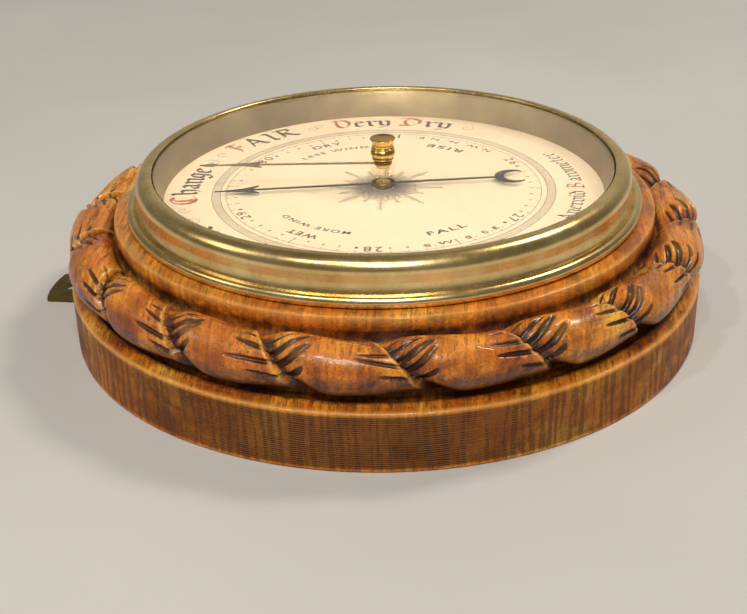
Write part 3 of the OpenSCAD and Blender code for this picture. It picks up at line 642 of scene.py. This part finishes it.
def turned_case(draw):
    """The turned oak ring that carries the rope: base, ledge, cove, raised ring, bore and back."""
    side = BASE_H - 0.8
    section = [(BACK_BORE_R + 0.4, 0), (CASE_R - 0.8, 0)]
    section += arc(CASE_R - 0.8, 0.8, 0.8, -80, 0, 3)
    section += arc(CASE_R - 0.8, side, 0.8, 0, 80, 5)
    section += [(CASE_R - 7, BASE_H + 1.2), (CASE_R - 8.4, BASE_H - 0.6), (CASE_R - 10, BASE_H - 1)]
    section += [(ROPE_RING_R - 4, BASE_H - 1), (SEAT_R + 3.4, ROPE_Z - 2)]
    section += arc(SEAT_R + 5.4, SEAT_Z - 7.6, 5.6, 232, 158, 12)
    section += arc(SEAT_R - 1.2, SEAT_Z - 1.2, 1.2, 5, 90, 6)
    section += [(BORE_R + 0.4, SEAT_Z), (BORE_R, SEAT_Z - 0.4)]
    section += [(BORE_R, BACK_BORE_H), (BACK_BORE_R, BACK_BORE_H), (BACK_BORE_R, 0.4)]
    section = np.array(fine(section, 1.3))
    columns = 720
    turn = np.linspace(0, 2 * math.pi, columns, endpoint=False)
    ring, level = section[:, :1], section[:, 1:]
    wobble = sum(
        draw.uniform(0.02, 0.05) * np.sin(n * turn + draw.uniform(0, 6.3)) for n in (3, 5, 9, 14, 23))
    chip = np.zeros(columns)
    for _ in range(60):
        at, wide = draw.uniform(0, 2 * math.pi), draw.uniform(0.006, 0.022)
        gap = np.angle(np.exp(1j * (turn - at)))
        chip += draw.uniform(0.1, 0.5) * np.exp(-(gap / wide) ** 2)
    on_arris = np.exp(-((ring - CASE_R) ** 2 + (level - BASE_H) ** 2) / 1.6)
    on_ring = np.exp(-((ring - SEAT_R) ** 2 + (level - SEAT_Z) ** 2) / 1.6)
    outside = (ring > SEAT_R - 1) & (level > 0.5) & (level < SEAT_Z - 0.5)
    reach = ring + outside * (wobble - 0.12) - 0.6 * on_arris * chip - 0.35 * on_ring * np.roll(chip, 137)
    points = np.zeros((len(section), columns, 3))
    points[..., 0] = reach * np.cos(turn)
    points[..., 1] = reach * np.sin(turn)
    points[..., 2] = level - 0.5 * on_arris * chip
    mesh = ring_grid(points)
    smooth(mesh, 40)
    # Painted shade in the groove under the rope and on the cove beside it, blotchy along the ring.
    groove_shade_under_rope = np.exp(-((ring - CASE_R + 8.5) / 2.6) ** 2) * (level > 24)
    cove_shade_beside_rope = np.exp(-((level - 49) / 4.4) ** 2) * (ring > SEAT_R - 2) * (level > 40)
    blotch = 0.5 + 0.5 * np.sin(turn * 5 + 1.3) * np.sin(turn * 11 + 0.4)
    paint(mesh, "patina_and_shade", np.clip(groove_shade_under_rope + cove_shade_beside_rope * (0.4 + 0.5 * blotch), 0, 1))
    steep = ((level > 1.5) & (level < BASE_H - 1.0) & (ring > SEAT_R)) * 1.0
    paint(mesh, "end_grain", 0.35 + 0.65 * steep * np.abs(np.cos(turn)))
    # Upright base sides darker: partly end-grain stain, strongest where the end grain shows at ±X, partly
    # painted shade.
    paint(mesh, "plain_side", steep * (0.35 + 0.65 * np.abs(np.cos(turn)) ** 3))
    # Lighter arris and ring edge, partly wear and partly painted highlight, and a painted highlight over the
    # ring's top.
    worn = on_arris * (0.9 + 0 * turn) + 0.5 * on_ring
    paint(mesh, "wear_and_highlight", np.clip(worn, 0, 1) + 0.2 * (level > SEAT_Z - 3) * (1 + 0 * turn))
    return mesh


def hanger_cutter():
    """The recess that the hanging plate lies in."""
    half = HANGER_HALF_WIDTH + CUTTER_PLAY
    outline = [(-half, HANGER_RECESS_IN), (half, HANGER_RECESS_IN),
               (half, HANGER_RECESS_OUT), (-half, HANGER_RECESS_OUT)]
    c, s = math.cos(HANGER_TURN), math.sin(HANGER_TURN)
    turned = [(x * c - y * s, x * s + y * c) for x, y in outline]
    mesh = slab(turned, -1, HANGER_HIGH.z - HANGER_LOW.z)
    cutter = bpy.data.objects.new("cutter", mesh)
    bpy.context.scene.collection.objects.link(cutter)
    return cutter


def build_case():
    """The oak ring, its rope border and the recess for the hanging plate."""
    draw = random.Random(18)
    make_object("rope_border", rope_border(draw), OAK, "case", ["oak_case"])
    case = make_object("oak_case_turned", turned_case(draw), OAK, "case", ["oak_case"])
    cut(case, hanger_cutter())
    case.data.materials.append(OAK_DULL)
    for face in case.data.polygons:
        upright = abs(face.normal.z) < 0.5 and 0.001 < face.center.z < (BASE_H - 1) * MM
        face.material_index = 1 if upright or face.normal.z < -0.5 else 0


build_case()


# ---------------------------------------------------------------- bezel, glass and knob


def bezel_section():
    """Bead, shallow cove, round shoulder and rim of the turned brass bezel, then its bore."""
    outer, foot, rim = BEZEL_HIGH.x, BEZEL_LOW.z, BEZEL_HIGH.z
    bore, lip = GLASS_HIGH.x + 0.3, GLASS_HIGH.x - 0.9
    flange = foot + 1.2
    section = [(BEZEL_FOOT_R, foot)]
    section += arc(outer - 2.7, foot + 2.7, 2.7, -80, 128, 26)
    section += arc(outer + 9.6, foot + 10.2, 15.0, 196, 182, 12)
    section += arc(outer - 11.4, rim - 6.2, 6.2, -4, 84, 34)
    section += [(lip + 0.5, rim), (lip, rim - 0.5), (lip, GLASS_HIGH.z + 0.1), (bore, GLASS_HIGH.z + 0.1)]
    section += [(bore, flange), (BEZEL_FOOT_R, flange)]
    return section


def glass_section():
    """The flat pane with its narrow bevel and its hole for the spindle."""
    top, foot, edge = GLASS_HIGH.z, GLASS_LOW.z, GLASS_HIGH.x
    return [(GLASS_HOLE_R, foot), (edge, foot), (edge, top - 0.9), (edge - 0.9, top - 0.6),
            (edge - 1.5, top), (GLASS_HOLE_R, top)]


def retaining_section():
    """The sloping brass wall between the dial and the glass."""
    low, high = span("glass_retaining_ring")
    wall = high.x
    return [(wall - 5.3, low.z), (wall, low.z), (wall, high.z), (wall - 1.4, high.z),
            (wall - 1.7, high.z - 0.4)]


def knob_section():
    """Flange, belly, waist bead and flared, dished head of the set knob, and the spindle below it."""
    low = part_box("knob_washer")[1].z / MM
    top, radius = KNOB_HIGH.z, KNOB_HIGH.x
    section = [(0, KNOB_LOW.z), (SPINDLE_R, KNOB_LOW.z), (SPINDLE_R, low), (radius - 1.3, low)]
    section += arc(radius - 1.2, low + 0.35, 0.35, -90, 90, 6)
    section += [(radius - 1.9, low + 0.8)]
    section += arc(radius - 2.9, low + 3.0, 2.7, -48, 50, 16)
    section += [(radius - 1.35, low + 5.1)]
    section += arc(radius - 1.0, low + 5.5, 0.36, -80, 80, 8)
    section += [(radius - 1.3, low + 5.9)]
    section += arc(radius + 1.6, low + 7.6, 2.6, 196, 158, 8)
    section += arc(radius - 0.45, top - 0.55, 0.45, -10, 110, 8)
    section += [(radius - 1.0, top - 0.35), (radius - 2.2, top - 0.75)]
    section += [(radius - 4.0, top - 0.95), (0, top - 1.0)]
    return section


make_object("bezel_turned", lathe(bezel_section(), 540, 50), BEZEL_BRASS, "case",
            ["bezel_ring"])
make_object("glass_pane", lathe(glass_section(), 360, 2), GLASS, "case", ["glass"])
make_object("retaining_ring", lathe(retaining_section(), 360), WALL_BRASS, "case",
            ["glass_retaining_ring"])
make_object("set_knob_turned", lathe(knob_section(), 128, 40), KNOB_BRASS, "set_hand",
            ["set_knob"])


# ---------------------------------------------------------------- dial

INK_LOW, INK_HIGH = CARD_HIGH.z - 0.02, CARD_HIGH.z + 0.04


def card_mesh():
    """The dial card, with its rim marked for the material."""
    edge, low, high = CARD_HIGH.x, CARD_LOW.z, CARD_HIGH.z
    section = fine([(CARD_HOLE_R, low), (edge, low), (edge, high), (CARD_HOLE_R, high)], 4)
    mesh = lathe(section, 180)
    reach = np.array([math.hypot(v.co.x, v.co.y) for v in mesh.vertices]) / MM
    paint(mesh, "edge", ease((reach - CARD_HIGH.x + 7) / 7))
    return mesh


def on_dial(angle, reach):
    """The point at a dial angle and a distance from the middle."""
    return reach * math.cos(math.radians(angle)), reach * math.sin(math.radians(angle))


def bar(start, end, width):
    """Outline of a straight stroke of one width."""
    ahead = Vector(end) - Vector(start)
    aside = Vector((-ahead.y, ahead.x)).normalized() * width / 2
    return [Vector(start) - aside, Vector(end) - aside, Vector(end) + aside, Vector(start) + aside]


def printed(outlines):
    """Printed shapes, each an outline of four points in millimetres, standing a hair off the card."""
    verts, faces = [], []
    for outline in outlines:
        first = len(verts)
        for level in (INK_LOW, INK_HIGH):
            verts += [(x * MM, y * MM, level * MM) for x, y in outline]
        faces += [[first + i for i in f] for f in (
            (3, 2, 1, 0), (4, 5, 6, 7), (0, 1, 5, 4), (1, 2, 6, 5), (2, 3, 7, 6), (3, 0, 4, 7))]
    mesh = bpy.data.meshes.new("printed")
    mesh.from_pydata(verts, [], faces)
    return mesh


def marks(boxes):
    """Strokes that point at the middle: (angle, inner radius, outer radius, width)."""
    return printed([bar(on_dial(angle, inner), on_dial(angle, outer), width)
                    for angle, inner, outer, width in boxes])


def circle(radius, width):
    """A printed circle."""
    inner, outer = radius - width / 2, radius + width / 2
    return lathe([(inner, INK_LOW), (outer, INK_LOW), (outer, INK_HIGH), (inner, INK_HIGH)], 240)


def words(text, start, end, foot, cap, outward=True, weight=0.0):
    """Plain lettering that fills the dial from one angle to another: foot is its baseline's radius."""
    curve = bpy.data.curves.new("words", "FONT")
    curve.body = text
    curve.size = cap / 0.70
    curve.offset = weight
    curve.space_character = 1.25
    curve.extrude = (INK_HIGH - INK_LOW) / 2
    curve.resolution_u = 4
    holder = bpy.data.objects.new("words", curve)
    bpy.context.scene.collection.objects.link(holder)
    bpy.context.view_layer.update()
    mesh = bpy.data.meshes.new_from_object(holder.evaluated_get(bpy.context.evaluated_depsgraph_get()))
    bpy.data.objects.remove(holder)
    left = min(vertex.co.x for vertex in mesh.vertices)
    width = max(vertex.co.x for vertex in mesh.vertices) - left
    for vertex in mesh.vertices:
        reach = foot + (vertex.co.y if outward else -vertex.co.y)
        angle = math.radians(start + (end - start) * (vertex.co.x - left) / width)
        level = INK_LOW + (INK_HIGH - INK_LOW) / 2 + vertex.co.z
        vertex.co = Vector((reach * math.cos(angle), reach * math.sin(angle), level)) * MM
    return mesh


# Broad-nib letters: how wide each is, then the pen's strokes, with the small letters one unit high.
LETTERS = {
    "a": (0.62,
          [(0.06, 0.80), (0.20, 0.97), (0.36, 0.82), (0.36, 0.16), (0.50, 0.02)],
          [(0.36, 0.55), (0.08, 0.36), (0.08, 0.16), (0.20, 0.02), (0.36, 0.20)]),
    "d": (0.58,
          [(0.04, 1.36), (0.14, 1.24), (0.42, 0.80), (0.42, 0.18), (0.22, 0.00)],
          [(0.42, 0.80), (0.22, 0.97), (0.06, 0.80), (0.06, 0.18), (0.22, 0.00)]),
    "e": (0.54,
          [(0.40, 0.20), (0.20, 0.00), (0.06, 0.16), (0.06, 0.80), (0.22, 0.97), (0.40, 0.78),
           (0.08, 0.46)]),
    "g": (0.60,
          [(0.38, 0.30), (0.20, 0.14), (0.06, 0.30), (0.06, 0.80), (0.20, 0.97), (0.38, 0.80),
           (0.38, -0.20), (0.20, -0.38), (0.02, -0.22)],
          [(0.38, 0.86), (0.52, 0.96)]),
    "h": (0.64,
          [(0.00, 1.44), (0.10, 1.34), (0.10, 0.16), (0.22, 0.02)],
          [(0.10, 0.72), (0.32, 0.96), (0.46, 0.82), (0.46, 0.12), (0.34, -0.14)]),
    "i": (0.36,
          [(0.00, 0.96), (0.12, 0.84), (0.12, 0.16), (0.26, 0.02)],
          [(0.08, 1.34), (0.17, 1.24)]),
    "m": (0.96,
          [(0.00, 0.96), (0.10, 0.84), (0.10, 0.14), (0.20, 0.02)],
          [(0.12, 0.76), (0.32, 0.96), (0.44, 0.84), (0.44, 0.14), (0.54, 0.02)],
          [(0.46, 0.76), (0.66, 0.96), (0.78, 0.84), (0.78, 0.14), (0.90, 0.02)]),
    "n": (0.66,
          [(0.00, 0.96), (0.10, 0.84), (0.10, 0.14), (0.20, 0.02)],
          [(0.12, 0.76), (0.32, 0.96), (0.46, 0.84), (0.46, 0.14), (0.58, 0.02)]),
    "o": (0.56,
          [(0.22, 0.00), (0.06, 0.18), (0.06, 0.80), (0.22, 0.98), (0.42, 0.82), (0.42, 0.20),
           (0.22, 0.00)]),
    "r": (0.50,
          [(0.00, 0.96), (0.12, 0.84), (0.12, 0.16), (0.24, 0.02)],
          [(0.14, 0.78), (0.32, 0.96), (0.44, 0.84)]),
    "t": (0.46,
          [(0.14, 1.28), (0.14, 0.16), (0.28, 0.02)],
          [(0.00, 0.88), (0.34, 0.90)]),
    "y": (0.62,
          [(0.00, 0.96), (0.10, 0.84), (0.10, 0.24), (0.24, 0.08), (0.44, 0.26)],
          [(0.32, 0.96), (0.44, 0.84), (0.44, 0.00), (0.24, -0.26), (0.04, -0.34)]),
    "A": (0.84,
          [(0.36, 1.46), (0.26, 0.90), (0.04, 0.02)],
          [(0.32, 1.50), (0.50, 0.80), (0.60, 0.14), (0.74, 0.02)],
          [(0.14, 0.54), (0.56, 0.56)]),
    "B": (0.76,
          [(0.22, 1.40), (0.22, 0.08)],
          [(0.02, 1.34), (0.22, 1.50), (0.52, 1.32), (0.48, 1.02), (0.24, 0.82)],
          [(0.24, 0.82), (0.58, 0.66), (0.62, 0.30), (0.38, 0.02), (0.06, 0.10)]),
    "C": (0.86,
          [(0.68, 1.28), (0.44, 1.50), (0.16, 1.32), (0.04, 0.95), (0.04, 0.50), (0.18, 0.12),
           (0.44, -0.02), (0.72, 0.20)],
          [(0.42, 1.34), (0.32, 1.00), (0.32, 0.45), (0.42, 0.14)]),
    "D": (0.84,
          [(0.00, 1.32), (0.16, 1.48), (0.42, 1.42), (0.68, 1.10), (0.70, 0.55), (0.46, 0.10),
           (0.14, 0.00), (0.02, 0.14)],
          [(0.30, 1.34), (0.18, 0.95), (0.20, 0.45), (0.32, 0.12)]),
    "F": (0.78,
          [(0.00, 1.30), (0.16, 1.50), (0.44, 1.36), (0.68, 1.52)],
          [(0.26, 1.40), (0.26, 0.22), (0.10, 0.00)],
          [(0.26, 0.78), (0.42, 0.90), (0.58, 0.76)]),
    "I": (0.48,
          [(0.04, 1.36), (0.12, 1.48), (0.24, 1.34), (0.24, 0.16), (0.38, 0.02)]),
    "R": (0.86,
          [(0.22, 1.42), (0.22, 0.22), (0.06, 0.00)],
          [(0.02, 1.34), (0.22, 1.50), (0.54, 1.38), (0.60, 1.10), (0.42, 0.86), (0.24, 0.78)],
          [(0.34, 0.80), (0.54, 0.30), (0.76, 0.02)]),
    "S": (0.76,
          [(0.64, 1.26), (0.44, 1.48), (0.18, 1.38), (0.10, 1.08), (0.30, 0.86), (0.54, 0.64),
           (0.60, 0.34), (0.40, 0.02), (0.16, 0.06), (0.00, 0.28)]),
    "V": (0.86,
          [(0.00, 1.34), (0.14, 1.50), (0.24, 1.34), (0.18, 0.90), (0.18, 0.36), (0.36, 0.00),
           (0.68, 0.38), (0.74, 0.95), (0.60, 1.34), (0.42, 1.48)]),
}
NIB_TURN = math.radians(38)


def blackletter(text, start, end, foot, height, nib, outward=True):
    """Outlines of a word that fills the dial from one angle to another; height is its small letters'."""
    side = 1 if outward else -1
    middle = foot + side * height / 2
    unit = abs(math.radians(end - start)) * middle / sum(LETTERS[letter][0] for letter in text)
    edge = Vector((math.cos(NIB_TURN), math.sin(NIB_TURN))) * nib / 2
    outlines = []
    pen = 0.0
    for letter in text:
        advance, *strokes = LETTERS[letter]
        for stroke in strokes:
            places = [Vector(((pen + u) * unit, v * height)) for u, v in stroke]
            for a, b in zip(places, places[1:]):
                sweep = (b - a).normalized().cross(edge)
                flat = bar(a, b, nib * 0.22) if abs(sweep) < nib * 0.11 else None
                turned = edge if sweep > 0 else -edge
                flat = flat or [a - turned, b - turned, b + turned, a + turned]
                outlines.append([
                    on_dial(start - side * math.degrees(p.x / middle), foot + side * p.y) for p in flat])
        pen += advance
    return outlines


def inches(value):
    """The dial angle of a pressure in inches of mercury."""
    return 90 - (value - 29.5) * 60


def scale_marks():
    """Ticks at every tenth of an inch, wider at the halves and short at the whole inches."""
    ticks = []
    for tenth in range(260, 311):
        whole, half = tenth % 10 == 0, tenth % 5 == 0
        inner = 74.3 if whole else 72.0 if half else 73.0
        ticks.append((inches(tenth / 10), inner, 75.0, 0.4 if half else 0.3))
    return ticks


def hatching():
    """The grey engraved band between the scale's outer circles."""
    return [(0.6 * i, 77.7, 81.3, 0.24) for i in range(600)]


def rosette(draw):
    """An engraved star of feathered rays round the middle."""
    lines = [(on_dial(2.5 * i, 5), on_dial(2.5 * i, draw.uniform(8, 14)), 0.2) for i in range(144)]
    for ray in range(32):
        turn = 11.25 * ray
        reach = 30 if ray % 4 == 0 else 22 if ray % 2 == 0 else 17
        reach *= draw.uniform(0.92, 1.0)
        lines.append((on_dial(turn, 5), on_dial(turn, reach), 0.26))
        barbs = round(reach - 6)
        for i in range(barbs):
            root = Vector(on_dial(turn, 6 + i))
            length = (1.6 + 4.2 * (1 - i / barbs)) * draw.uniform(0.5, 1.3)
            for side in (-1, 1):
                lines.append((root, root + Vector(on_dial(turn + side * draw.uniform(24, 44), length)), 0.17))
    return [bar(*line) for line in lines]


def scroll(angle, reach, size, turn):
    """A printed curl: an opening spiral of about 1.4 turns."""
    middle = Vector(on_dial(angle, reach))
    points = []
    for i in range(22):
        at = math.radians(angle + turn + 24 * i)
        points.append(middle + size * (0.12 + 0.88 * (i / 21) ** 1.4) * Vector((math.cos(at), math.sin(at))))
    return [bar(a, b, 0.34) for a, b in zip(points, points[1:])]


def build_dial():
    """The printed dial: card, scale, numbers, words and ornaments."""
    make_object("dial_card_printed", card_mesh(), CARD, "case", ["dial_card"])
    black = [marks(scale_marks())]
    black += [circle(radius, 0.24) for radius in (74.8, 77.5, 81.5)]
    for inch in range(26, 32):
        black.append(words(str(inch), inches(inch) + 3.4, inches(inch) - 3.4, 68.8, 5.0, weight=0.05))
    for tenth in range(261, 310):
        if tenth % 10:
            middle = inches(tenth / 10)
            black.append(words(str(tenth % 10), middle + 0.6, middle - 0.6, 69.3, 1.9))
    small = {"cap": 3.0, "weight": 0.06}
    bigger = {"cap": 3.9, "weight": 0.14}
    black += [words("WET", 157, 143, 62.8, **bigger), words("MORE WIND", 168.5, 129, 54.2, **small)]
    black += [words("DRY", 37, 23, 63.6, **bigger), words("LESS WIND", 49, 11.5, 55.2, **small)]
    black += [words("FALL", 202.5, 221.5, 61.0, outward=False, **bigger)]
    black += [words("S.W. S. S.E.", 198, 231, 72.2, outward=False, **small)]
    black += [words("RISE", 323, 342, 63.0, outward=False, **bigger)]
    black += [words("N.W. N. N.E.", 314, 350, 72.2, outward=False, **small)]
    name = {"foot": 95.0, "height": 5.4, "nib": 1.15, "outward": False}
    black.append(printed(blackletter("Aneroid", 246, 268.2, **name)))
    black.append(printed(blackletter("arometer", 275.8, 300.5, **name)))
    red = [printed(blackletter("B", 269.6, 275, **name))]
    weather = {"foot": 88.6, "height": 8.2, "nib": 2.3}
    curls = []
    for word, start, split, end in (("Stormy", 195, 188.2, 165), ("Rain", 147.5, 140.3, 122),
                                    ("Change", 104, 96.8, 75), ("FAIR", 58.8, 52.2, 32.5),
                                    ("Very", 20.4, 13.2, 0.5), ("Dry", -1.8, -10.4, -20)):
        red.append(printed(blackletter(word[0], start, split + 0.6, **weather)))
        black.append(printed(blackletter(word[1:], split, end, **weather)))
        if word != "Very":
            curls += scroll(end - 4.6, 93.5, 4.2, 200)
        if word != "Dry":
            curls += scroll(start + 4.2, 95.5, 3.6, 20)
    grey = [marks(hatching()), printed(curls + rosette(random.Random(31)))]
    make_object("dial_black_print", join(black, "dial_black_print"), BLACK_INK, "case")
    make_object("dial_red_print", join(red, "dial_red_print"), RED_INK, "case")
    make_object("dial_scale_hatching", join(grey, "dial_scale_hatching"), GREY_INK, "case")


build_dial()


# ---------------------------------------------------------------- set, lights and camera


def floor():
    """The plain paper floor with a curved back."""
    mesh = bpy.data.meshes.new("floor")
    reach, back = 2.2, 1.6
    points = [(-reach, 0), (back - 0.4, 0)]
    points += [(back - 0.4 + 0.4 * math.sin(a), 0.4 - 0.4 * math.cos(a)) for a in np.linspace(0.1, 1.5, 12)]
    points += [(back, 2.5)]
    verts = [(x, y, z) for x, z in points for y in (-3, 3)]
    faces = [(2 * i, 2 * i + 1, 2 * i + 3, 2 * i + 2) for i in range(len(points) - 1)]
    mesh.from_pydata(verts, [], faces)
    mesh.polygons.foreach_set("use_smooth", [True] * len(mesh.polygons))
    mesh.materials.append(FLOOR)
    sheet = bpy.data.objects.new("floor", mesh)
    bpy.context.scene.collection.objects.link(sheet)
    sheet.location.z = -0.0003


def lamp(name, place, target, size, power, colour):
    """A square area lamp that points at a target."""
    light = bpy.data.lights.new(name, "AREA")
    light.shape = "RECTANGLE"
    light.size = size
    light.size_y = size
    light.energy = power
    light.color = colour
    holder = bpy.data.objects.new(name, light)
    holder.location = place
    aim = Vector(target) - Vector(place)
    holder.rotation_mode = "QUATERNION"
    holder.rotation_quaternion = aim.to_track_quat("-Z", "Y")
    bpy.context.scene.collection.objects.link(holder)


def lights():
    """Soft, warm studio light."""
    world = bpy.data.worlds.new("studio")
    bpy.context.scene.world = world
    bpy.context.scene.view_settings.view_transform = "Standard"
    world.use_nodes = True
    world.node_tree.nodes["Background"].inputs["Color"].default_value = (0.88, 0.85, 0.80, 1)
    world.node_tree.nodes["Background"].inputs["Strength"].default_value = 0.17
    middle = (0, 0, 0.05)
    warm = (1.0, 0.92, 0.80)
    lamp("key", (0.55, -0.95, 1.55), middle, 0.35, 11, warm)
    lamp("front", (-1.3, -0.1, 1.5), middle, 0.6, 11, warm)
    lamp("side", (-0.3, 1.4, 1.1), middle, 0.6, 3.0, warm)
    sparks = {"spark_a": (-1.0, 0.75, 1.6), "spark_b": (-1.1, -0.25, 1.7), "spark_c": (-1.1, 0.3, 1.9)}
    for name, place in sparks.items():
        lamp(name, place, middle, 0.09, 4.5, (1.0, 0.96, 0.90))


def camera():
    """Looks from the barometer's 9 o'clock side, about 27 degrees down."""
    heading, pitch, roll = math.radians(4.61), math.radians(26.98), math.radians(1.42)
    across = math.cos(pitch)
    ahead = Vector((math.cos(heading) * across, math.sin(heading) * across, -math.sin(pitch)))
    level = Vector((math.sin(heading), -math.cos(heading), 0))
    upright = level.cross(ahead)
    right = math.cos(roll) * level - math.sin(roll) * upright
    up = math.sin(roll) * level + math.cos(roll) * upright
    data = bpy.data.cameras.new("camera")
    data.sensor_width = 36
    data.lens = 62.65
    holder = bpy.data.objects.new("camera", data)
    turn = Matrix((right, up, -ahead)).transposed().to_4x4()
    holder.matrix_world = Matrix.Translation((-0.5767, -0.0403, 0.2916)) @ turn
    bpy.context.scene.collection.objects.link(holder)
    bpy.context.scene.camera = holder


floor()
lights()
camera()
